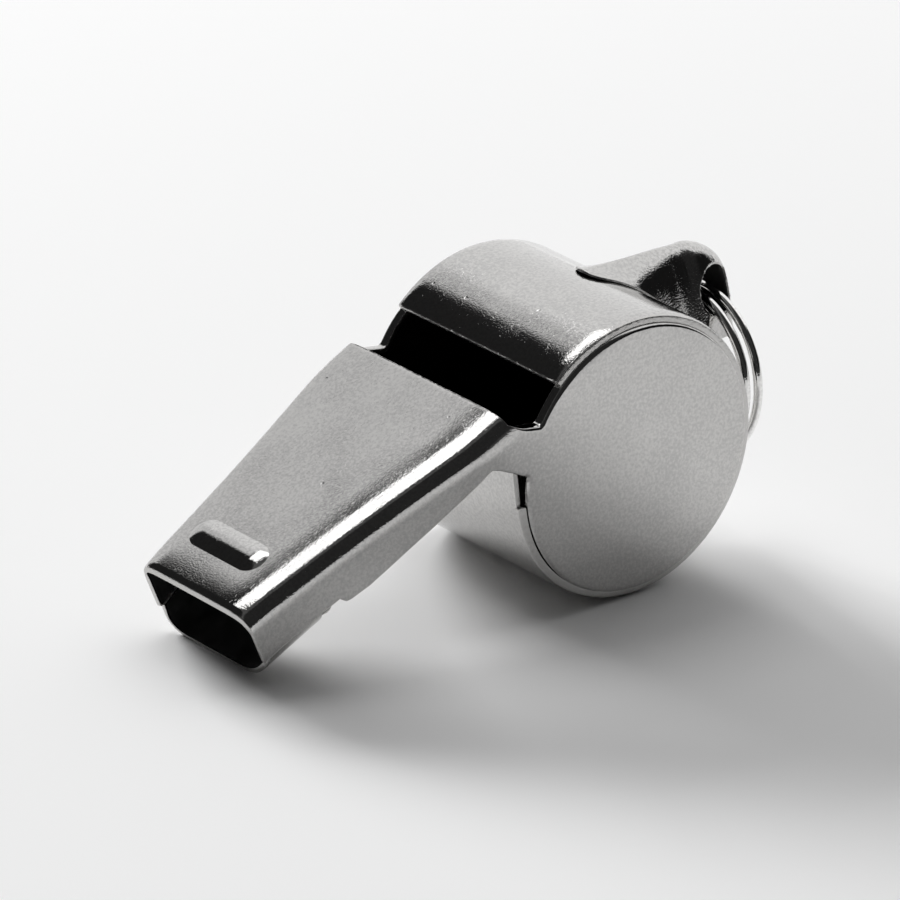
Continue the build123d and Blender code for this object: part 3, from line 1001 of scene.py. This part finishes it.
@dataclass(frozen=True)
class BarrelStrip(Piece):
    """The strip that makes the lip, the barrel, the windway floor and the spoon under the tip.

    Each corner of the spoon is given by its reach across and its rise.
    """

    name: str = "rolled_strip"
    body: str = "whistle"
    node: str = "barrel_strip"
    slot: str = "nickel_plate"
    edge_bulge: float = 0.16
    edge_swell: float = 0.2
    edge_run: float = 0.4
    edge_lean: float = 0.2
    lean_run: float = 0.05
    lip_angle: float = 73.7
    leave_angle: float = 20.1
    narrow_half_width: float = 8.0
    fold_corner: Pair = (-7.695, 8.066)
    rise_end: Pair = (-9.4, 7.86)
    joggle_high: Pair = (-23.36, 6.43)
    joggle_low: Pair = (-24.0, 4.6)
    spoon_reach: float = 24.25
    tip_underside: float = 4.1
    spoon_rise: float = 0.45
    floor_inset: float = 0.435
    flange_top: float = 6.85
    right_corner: Pair = (3.3, 2.3)
    left_corner: Pair = (2.2, 1.5)
    left_spread: float = 0.3
    flange_setback: float = 0.7
    left_flange_setback: float = 0.25
    left_flange_drop: float = 0.75
    setback_gain: float = 1.4
    rolled_edge: float = 0.7
    rolled_drop: float = 0.11
    rolled_rows: int = 225
    rolled_fade: float = 30.0
    columns: int = 33
    barrel_rows: int = 240
    rise_rows: int = 60
    rise_easing: int = 3
    floor_rows: int = 120
    floor_easing: int = 6
    spoon_rows: int = 20
    corner_points: int = 12
    flange_points: int = 4
    barrel_centre: Point = (0.0, 0.0, 0.0)
    spoon_centre: Point = (-26.5, 0.0, 8.0)

    def spoon_level(self, x: Array) -> Array:
        """Height of the spoon's underside."""
        share = (LAYOUT.tip_reach + x) / (LAYOUT.tip_reach - self.spoon_reach)
        return self.tip_underside + self.spoon_rise * share

    def path(self) -> tuple[Array, Array, Array]:
        """Side view of the strip's outside, with its right and left half widths.

        Returns:
            Points as x and z from the lip to the back of the spoon, and the two half widths at each.
        """
        turn = np.radians(np.linspace(self.lip_angle, FULL_TURN + self.leave_angle, self.barrel_rows))
        barrel = LAYOUT.barrel_radius * np.stack([-np.cos(turn), np.sin(turn)], axis=1)
        corners = np.array([barrel[-1], self.fold_corner, self.rise_end])
        rise = eased(resampled(corners, self.rise_rows), self.rise_easing)
        low = (-self.spoon_reach, float(self.spoon_level(np.array(-self.spoon_reach))))
        corners = np.array([rise[-1], self.joggle_high, self.joggle_low, low])
        floor = eased(resampled(corners, self.floor_rows), self.floor_easing)
        wide = np.full(len(barrel), LAYOUT.strip_half_width - self.edge_bulge)
        narrow = np.full(len(rise), self.narrow_half_width)
        inside = LAYOUT.half_width(floor[:, 0]) - self.floor_inset - self.edge_bulge
        fall = smooth((-floor[:, 0] + self.joggle_high[0]) / (self.spoon_reach + self.joggle_high[0]))
        right, left = (
            np.concatenate([wide, narrow, inside - fall * (reach - self.edge_bulge)])
            for reach, _ in (self.right_corner, self.left_corner)
        )
        return np.concatenate([barrel, rise, floor]), right, left

    def ribbon(self) -> Surface:
        """Barrel, rise, fold, floor and joggle: a line across, carried along the side view.

        Round the barrel the radius falls toward both edges by a square, so that they are rolled in a little.

        Returns:
            The surface.
        """
        points, right, left = self.path()
        share = 0.5 - 0.5 * np.cos(np.linspace(0.0, math.pi, self.columns))
        y = -right[:, None] + share[None] * (right + left)[:, None]
        beyond = np.clip((np.abs(y) - right[:, None]) / self.rolled_edge + 1.0, 0.0, 1.0)
        rolled = smooth((self.rolled_rows - np.arange(len(y))) / self.rolled_fade)
        shrink = 1.0 - self.rolled_drop * rolled[:, None] * beyond**2 / LAYOUT.barrel_radius
        return Surface.of_grid(np.stack([points[:, :1] * shrink, y, points[:, 1:] * shrink], axis=-1))

    def half_section(self, half: Array, level: Array, top: Array | float, corner: Pair) -> tuple[Array, Array]:
        """Flange and round corner of one half of the spoon's sections, down to the flat bottom.

        Args:
            half: half width of each section, as a column.
            level: height of each section's bottom, as a column.
            top: height of the flange's edge.
            corner: the corner's reach across and its rise.

        Returns:
            Distances from the middle and heights, one row per section.
        """
        reach, rise = corner
        angle = np.linspace(0.0, RIGHT_ANGLE, self.corner_points)
        up = np.linspace(1.0, 0.0, self.flange_points)[:-1]
        wall = level + rise + up * (top - level - rise)
        y = np.concatenate([half * np.ones(len(up)), half - reach * (1.0 - np.cos(angle))], axis=1)
        return y, np.concatenate([wall, level + rise * (1.0 - np.sin(angle))], axis=1)

    def spoon(self) -> Surface:
        """Spoon under the tip: a section of flange, corner, flat bottom, corner and flange, carried to the tip.

        Returns:
            The surface, whose back row meets the joggle.
        """
        x = np.linspace(-self.spoon_reach, -LAYOUT.tip_reach, self.spoon_rows)[:, None]
        half, level = LAYOUT.half_width(x) - self.floor_inset, self.spoon_level(x)
        near_tip = np.clip((-x - self.spoon_reach) / (LAYOUT.tip_reach - self.spoon_reach), 0.0, 1.0)
        left_half = half + self.left_spread * near_tip**2
        left_top = self.flange_top - self.left_flange_drop * near_tip**2
        right_y, right_z = self.half_section(half, level, self.flange_top, self.right_corner)
        left_y, left_z = self.half_section(left_half, level, left_top, self.left_corner)
        share = np.linspace(0.0, 1.0, self.columns)[1:-1]
        flat_y = -right_y[:, -1:] + share * (left_y[:, -1:] + right_y[:, -1:])
        y = np.concatenate([-right_y, flat_y, left_y[:, ::-1]], axis=1)
        z = np.concatenate([right_z, np.broadcast_to(level, flat_y.shape), left_z[:, ::-1]], axis=1)
        height = np.clip((z - level) / (self.flange_top - level), 0.0, 1.0)
        setback = np.where(y < 0.0, self.flange_setback, self.left_flange_setback)
        along = x + setback * smooth(self.setback_gain * height) * near_tip
        return Surface.of_grid(np.stack([along, y, z], axis=-1))

    def surface(self) -> Surface:
        """Welds ribbon and spoon and gives the sheet its thickness, swollen and slanted at the barrel's rims.

        Returns:
            The closed surface.
        """
        ribbon = self.ribbon().turned_from(self.barrel_centre)
        skin = Surface.joined(ribbon, self.spoon().turned_from(self.spoon_centre)).welded()
        x, y, z = skin.points.T
        rolled = np.hypot(x, z) > LAYOUT.barrel_radius - self.rolled_drop - TINY_GAP
        at_edge = smooth((np.abs(y) - self.narrow_half_width) / self.edge_run)
        rim = smooth((np.abs(y) - LAYOUT.strip_half_width + self.edge_bulge) / self.lean_run + 1.0)
        lean = np.outer(self.edge_lean * np.sign(y) * rim * rolled, (0.0, 1.0, 0.0))
        return skin.thickened(LAYOUT.sheet + self.edge_swell * at_edge * rolled, self.edge_bulge, lean)


@dataclass(frozen=True)
class LanyardLoop(Piece):
    """Hollow hood with an eye through both sides and a flange that lies on the barrel and ends in a raised tongue.

    The tables give heights, half widths, shares or powers at places along x.
    """

    name: str = "lanyard_hood"
    body: str = "whistle"
    node: str = "lanyard_loop"
    slot: str = "nickel_plate"
    thickness: float = 0.15
    edge_bulge: float = 0.05
    front: float = 2.1
    nose: float = 14.2
    seat_radius: float = 10.03
    curl_height: float = 0.08
    curl_run: float = 0.6
    nose_centre: Pair = (10.5, 6.1)
    nose_radius: float = 3.95
    bottom: float = 3.7
    bottom_start: float = 9.33
    bottom_blend: float = 0.6
    nose_start: float = 12.4
    nose_power: float = 2.4
    crest_round: float = 0.12
    foot_round: float = 0.3
    eye: Pair = (12.2, 6.95)
    eye_radius: float = 1.7
    eye_facing: float = 0.2
    ridge_line: Table = ((2.1, 10.1), (2.9, 10.14), (3.8, 10.12), (5.3, 10.1), (9.0, 10.08), (10.5, 10.05))
    foot_tongue: Table = ((2.1, 0.0), (2.2, 0.6), (2.47, 1.1), (2.95, 1.4), (4.33, 1.75), (5.32, 2.0))
    foot_rear: Table = ((7.0, 2.35), (8.0, 2.65), (9.0, 3.0), (10.0, 3.2))
    flank_tongue: Table = ((2.1, 0.0), (2.2, 0.58), (2.47, 1.08), (2.95, 1.38), (4.33, 1.72), (5.32, 1.98))
    flank_rear: Table = ((7.0, 2.25), (8.0, 2.5), (9.0, 2.85), (10.0, 3.1), (11.0, 3.1), (12.4, 2.8))
    gable: Table = ((4.0, 0.95), (5.3, 0.9), (7.0, 0.45), (8.0, 0.3), (9.0, 0.1), (10.0, 0.0))
    steep: Table = ((5.3, 6.0), (7.0, 4.4), (8.0, 3.0), (9.0, 2.1), (10.0, 1.95), (11.0, 2.4))
    ridge_points: int = 80
    ridge_easing: int = 30
    stations: int = 210
    flange_rows: int = 9
    flank_rows: int = 66
    centre: Point = (9.0, 0.0, 7.5)

    def profile(self, x: Array) -> tuple[Array, Array]:
        """Side view of the hood: the ridge line with the round nose, and the foot on the barrel.

        Args:
            x: places from the tongue to the nose.

        Returns:
            Heights of the top, and of the foot: a soft maximum of the barrel's seat and the hood's bottom.
        """
        ridge = eased(resampled(np.array(self.ridge_line), self.ridge_points), self.ridge_easing)
        middle, axis = self.nose_centre
        reach = np.sqrt(np.maximum(self.nose_radius**2 - (x - middle) ** 2, 0.0))
        top = np.where(x < middle, np.interp(x, *ridge.T), axis + reach)
        seat = np.sqrt(np.maximum(self.seat_radius**2 - np.minimum(x, self.seat_radius) ** 2, 0.0))
        seat = seat + self.thickness + self.curl_height * np.exp(-(x - self.front) / self.curl_run)
        under = np.maximum(self.bottom, np.where(x > middle, axis - reach, self.bottom))
        return top, np.minimum(0.5 * (seat + under + np.hypot(seat - under, self.foot_round)), top)

    def sections(self) -> Surface:
        """Hood as sections from the tongue to the nose: flange, then a flank that rounds over the ridge line.

        Above the flange the height falls from the crown by a share of a straight slope with a rounded
        crest, a hyperbola, and a share of a steep power of the distance, so the tongue is a low gable
        and the nose a dome.

        Returns:
            The surface, both halves, without the eyes.
        """
        reach = self.nose - self.front
        x = self.front + reach * 0.5 * (1.0 - np.cos(np.linspace(0.0, math.pi, self.stations)))
        top, foot = self.profile(x)
        wide = read_off(self.foot_tongue + self.foot_rear, x)
        flank = read_off(self.flank_tongue + self.flank_rear, x)
        closing = smooth((x - self.bottom_start) / self.bottom_blend)
        ending = np.clip((x - self.nose_start) / (self.nose - self.nose_start), 0.0, 1.0)
        limit = np.where(closing < 1.0, wide, flank)
        flank = np.minimum(flank * np.sqrt(1.0 - ending**self.nose_power), limit)
        edge = wide * (1.0 - closing)
        share = np.linspace(0.0, 1.0, self.flange_rows)[None, :-1]
        flange_y = edge[:, None] + share * (flank - edge)[:, None]
        flange_z = np.broadcast_to(foot[:, None], flange_y.shape)
        away = np.linspace(1.0, 0.0, self.flank_rows)[None]
        slope = np.hypot(away, self.crest_round) - self.crest_round
        slope = slope / (math.hypot(1.0, self.crest_round) - self.crest_round)
        gable, steep = (read_off(table, x)[:, None] for table in (self.gable, self.steep))
        fall = gable * slope + (1.0 - gable) * away**steep
        flank_z = top[:, None] - np.maximum(top - foot, 0.0)[:, None] * fall
        y = np.concatenate([flange_y, flank[:, None] * away], axis=1)
        z = np.concatenate([flange_z, flank_z], axis=1)
        near = np.stack([np.broadcast_to(x[:, None], y.shape), -y, z], axis=-1)
        far = near[:, ::-1] * np.array([1.0, -1.0, 1.0])
        return Surface.of_grid(np.concatenate([near, far[:, 1:]], axis=1))

    def with_eyes(self, hood: Surface) -> Surface:
        """The hood with the two eyes cut: faces inside the circle go, and points beside it move onto it.

        Args:
            hood: the whole hood.

        Returns:
            The open hood.
        """
        away = hood.points[:, [0, 2]] - np.array(self.eye)
        reach = np.linalg.norm(away, axis=1)
        inside = (reach < self.eye_radius) & (np.abs(hood.normals()[:, 1]) > self.eye_facing)
        kept = ~inside[hood.faces].all(axis=1)
        border = np.zeros(len(reach), bool)
        border[np.unique(hood.faces[kept])] = True
        moved = inside & border
        points = hood.points.copy()
        onto = np.array(self.eye) + away[moved] * (self.eye_radius / reach[moved])[:, None]
        points[np.ix_(moved, [0, 2])] = onto
        return Surface(points, hood.faces[kept], hood.lining[kept], hood.edge)

    def surface(self) -> Surface:
        """Cuts the eyes and gives the hood its thickness.

        Returns:
            The closed surface.
        """
        hood = self.sections().welded().turned_from(self.centre)
        return self.with_eyes(hood).thickened(self.thickness, self.edge_bulge)


@dataclass(frozen=True)
class SplitRing(Piece):
    """Two turns of spring wire side by side, joined by a crank on the far side."""

    name: str = "wire_ring"
    body: str = "ring"
    node: str = "split_ring"
    slot: str = "spring_wire"
    wire_radius: float = 0.325
    middle_radius: float = 5.9
    top: Pair = (12.2, 6.425)
    half_pitch: float = 0.55
    start: float = 130.0
    crank: float = 42.0
    steps: int = 420
    around: int = 20
    dome_rows: int = 5

    def wire(self) -> Surface:
        """Wire: a circle carried round two turns, its layer easing across in the crank, with domed ends.

        Returns:
            The closed surface.
        """
        angle = np.linspace(self.start, self.start + 2.0 * FULL_TURN - self.crank, self.steps)
        layer = -1.0 + 2.0 * smooth((angle - (self.start + FULL_TURN - self.crank)) / self.crank)
        turn = np.radians(np.pad(angle, self.dome_rows, mode="edge"))[:, None]
        layer = np.pad(layer, self.dome_rows, mode="edge")[:, None]
        dome = np.linspace(0.0, RIGHT_ANGLE, self.dome_rows + 1)[:-1]
        grown, pushed = np.sin(dome), np.cos(dome)
        size = self.wire_radius * np.concatenate([grown, np.ones(self.steps), grown[::-1]])[:, None]
        push = self.wire_radius * np.concatenate([-pushed, np.zeros(self.steps), pushed[::-1]])[:, None]
        around = np.linspace(0.0, 2.0 * math.pi, self.around, endpoint=False)[None]
        out = self.middle_radius + size * np.cos(around)
        x = self.top[0] + self.half_pitch * layer + size * np.sin(around)
        y = out * np.sin(turn) + push * np.cos(turn)
        z = self.top[1] - self.middle_radius + out * np.cos(turn) - push * np.sin(turn)
        return Surface.of_grid(np.stack([x, y, z], axis=-1), wrap=True)

    def surface(self) -> Surface:
        """Makes the wire and turns its faces away from its middle line.

        Returns:
            The closed surface.
        """
        wire = self.wire().welded()
        middle = np.array([self.top[0], 0.0, self.top[1] - self.middle_radius])
        radial = (wire.points - middle) * np.array([0.0, 1.0, 1.0])
        beyond = np.linalg.norm(radial, axis=1, keepdims=True) - self.middle_radius
        return wire.facing(radial * np.sign(beyond))


@dataclass(frozen=True)
class CorkPea(Piece):
    """Loose cork ball in the barrel, pitted and a little out of round."""

    name: str = "cork_ball"
    body: str = "pea"
    node: str = "cork_pea"
    slot: str = "cork"
    radius: float = 4.45
    drop: float = 4.8
    dents: float = 0.05
    swirl_turns: float = 7.0
    swirl_bend: float = 3.0
    swirl_bends: float = 5.0
    swirl_rows: float = 6.0
    dimple_turns: float = 13.0
    dimple_rows: float = 11.0
    rows: int = 60
    columns: int = 96

    def surface(self) -> Surface:
        """Ball: a sphere whose radius ripples with products of sines over its two angles.

        Returns:
            The closed surface.
        """
        rise = np.linspace(0.0, math.pi, self.rows)[:, None]
        turn = np.linspace(0.0, 2.0 * math.pi, self.columns, endpoint=False)[None]
        swirl = np.sin(self.swirl_turns * turn + self.swirl_bend * np.cos(self.swirl_bends * rise))
        dimples = np.sin(self.dimple_turns * turn) * np.sin(self.dimple_rows * rise)
        ripple = swirl * np.sin(self.swirl_rows * rise) + dimples
        size = self.radius - self.dents * np.sin(rise) ** 2 * np.maximum(ripple, 0.0)
        x = size * np.sin(rise) * np.cos(turn)
        y = size * np.sin(rise) * np.sin(turn)
        z = size * np.cos(rise) - self.drop
        ball = Surface.of_grid(np.stack([x, y, z], axis=-1), wrap=True).welded()
        return ball.turned_from((0.0, 0.0, -self.drop))


@dataclass(frozen=True)
class SkyPatch:
    """Part of the surroundings with its own level: a direction, and the angles where it is full and gone."""

    toward: Point
    full: float
    gone: float
    level: float


@dataclass(frozen=True)
class Studio:
    """Pale floor, soft lamps, surroundings with dark and pale sides, and the camera of the photograph."""

    floor_half: float = 4.0
    floor_colour: Colour = (0.95, 0.95, 0.95, 1.0)
    floor_roughness: float = 0.9
    ambient: float = 0.11
    patches: tuple[SkyPatch, ...] = (
        SkyPatch((0.0, 1.0, 0.0), 45.2, 48.5, 0.82),
        SkyPatch((0.75, 0.3, 0.55), 40.0, 49.0, 1.05),
        SkyPatch((-0.606, 0.674, 0.423), 33.0, 38.0, 0.02),
        SkyPatch((-0.307, -0.767, 0.563), 42.0, 52.0, 0.028),
        SkyPatch((0.75, -0.62, 0.25), 24.0, 33.0, 0.012),
    )
    strip_place: Point = (0.0, 0.83, 1.5)
    strip_size: Pair = (0.88, 0.79)
    strip_level: float = 2.1
    strip_back: Point = (0.0, 0.0, 1.0)
    rear_place: Point = (0.1, 1.4, 0.58)
    rear_size: Pair = (0.65, 0.5)
    rear_level: float = 28.0
    lens: float = 345.04
    sensor: float = 36.0
    clip: Pair = (0.01, 20.0)
    eye: Point = (-0.33176503, -0.40728968, 0.2351147)
    right: Point = (0.78082054, -0.62450397, 0.01772206)
    up: Point = (0.23366402, 0.31822397, 0.918768)
    back: Point = (-0.57941384, -0.71325192, 0.39439992)

    def floor(self) -> None:
        """Flat pale floor under the object."""
        half = self.floor_half
        corners = [(-half, -half, 0.0), (half, -half, 0.0), (half, half, 0.0), (-half, half, 0.0)]
        mesh = bpy.data.meshes.new("floor")
        mesh.from_pydata(corners, [], [tuple(range(FACE_CORNERS))])
        material = bpy.data.materials.new("pale_floor")
        material.use_nodes = True
        shader = material.node_tree.nodes["Principled BSDF"]
        shader.inputs["Base Color"].default_value = self.floor_colour
        shader.inputs["Roughness"].default_value = self.floor_roughness
        shader.inputs["Specular IOR Level"].default_value = 0.0
        mesh.materials.append(material)
        shown("floor", mesh)

    def surroundings(self) -> None:
        """World whose level changes by direction, one soft round patch after another."""
        world = bpy.data.worlds.new("studio")
        world.use_nodes = True
        bpy.context.scene.world = world
        nodes = NodeTree(world.node_tree)
        toward = nodes.add("ShaderNodeTexCoord").outputs["Generated"]
        level: object = self.ambient
        for patch in self.patches:
            length = math.hypot(*patch.toward)
            dot = nodes.tree.nodes.new("ShaderNodeVectorMath")
            dot.operation = "DOT_PRODUCT"
            nodes.feed(dot.inputs[0], toward)
            nodes.feed(dot.inputs[1], tuple(part / length for part in patch.toward))
            ends = math.cos(math.radians(patch.gone)), math.cos(math.radians(patch.full))
            level = nodes.mixed(Blend.LEVEL, nodes.ranged(dot.outputs["Value"], ends), level, patch.level)
        glow = nodes.add("ShaderNodeBackground", Color=WHITE, Strength=level)
        nodes.add("ShaderNodeOutputWorld", Surface=glow.outputs["Background"])

    def lamps(self) -> None:
        """Long soft box overhead, and a low one behind the object that mirrors don't show."""
        self.soft_box("soft_box", self.strip_place, self.strip_size, self.strip_level, self.strip_back)
        rear = self.soft_box("rear_box", self.rear_place, self.rear_size, self.rear_level, self.rear_place)
        rear.visible_glossy = False

    def soft_box(self, name: str, place: Point, size: Pair, level: float, back: Point) -> bpy.types.Object:
        """Adds a soft box: a flat area lamp of an even level.

        Args:
            name: the lamp's name.
            place: its middle, in metres.
            size: its two sides, in metres.
            level: how bright its face is.
            back: the direction that its back looks to.

        Returns:
            The lamp.
        """
        box = bpy.data.lights.new(name, "AREA")
        box.shape = "RECTANGLE"
        box.size, box.size_y = size
        box.energy = level * math.pi * box.size * box.size_y
        lamp = shown(name, box)
        behind = np.array(back) / np.linalg.norm(back)
        lies_flat = abs(behind[2]) > abs(behind[1])
        right = np.cross((0.0, 1.0, 0.0) if lies_flat else (0.0, 0.0, 1.0), behind)
        right /= np.linalg.norm(right)
        lamp.matrix_world = self.turned(right, np.cross(behind, right), behind, np.array(place))
        return lamp

    @staticmethod
    def turned(right: Array, up: Array, back: Array, place: Array) -> Matrix:
        """Matrix from three axes and a place, one column each."""
        columns = np.stack([right, up, back, place], axis=1)
        return Matrix(np.vstack([columns, [0.0, 0.0, 0.0, 1.0]]).tolist())

    def camera(self) -> None:
        """Camera at the photograph's place, turn and field of view."""
        data = bpy.data.cameras.new("camera")
        data.sensor_width = self.sensor
        data.lens = self.lens
        data.clip_start, data.clip_end = self.clip
        made = shown("camera", data)
        axes = (self.right, self.up, self.back, self.eye)
        made.matrix_world = self.turned(*(np.array(axis) for axis in axes))
        bpy.context.scene.camera = made

    def build(self) -> None:
        """Sets up floor, surroundings, lamps, camera and the plain view transform."""
        self.floor()
        self.surroundings()
        self.lamps()
        self.camera()
        bpy.context.scene.view_settings.view_transform = "Standard"


def main() -> None:
    """Builds the studio, then each sub-assembly in order, and notes the sizes."""
    logging.basicConfig(level=logging.INFO, format="%(name)s: %(message)s")
    Studio().build()
    plate, lining = NICKEL.build(), LINING_PAINTED_SHADE.build()
    TopPressing().build(LAYOUT.from_blow, plate, lining)
    BarrelStrip().build(LAYOUT.from_blow, ROLLED.build(), lining)
    LanyardLoop().build(LAYOUT.from_level, GRAINED.build(), lining)
    SplitRing().build(LAYOUT.from_level, WIRE.build())
    CorkPea().build(LAYOUT.from_level, CORK_DARKENED_AS_SHADE.build())


if __name__ == "__main__":
    main()
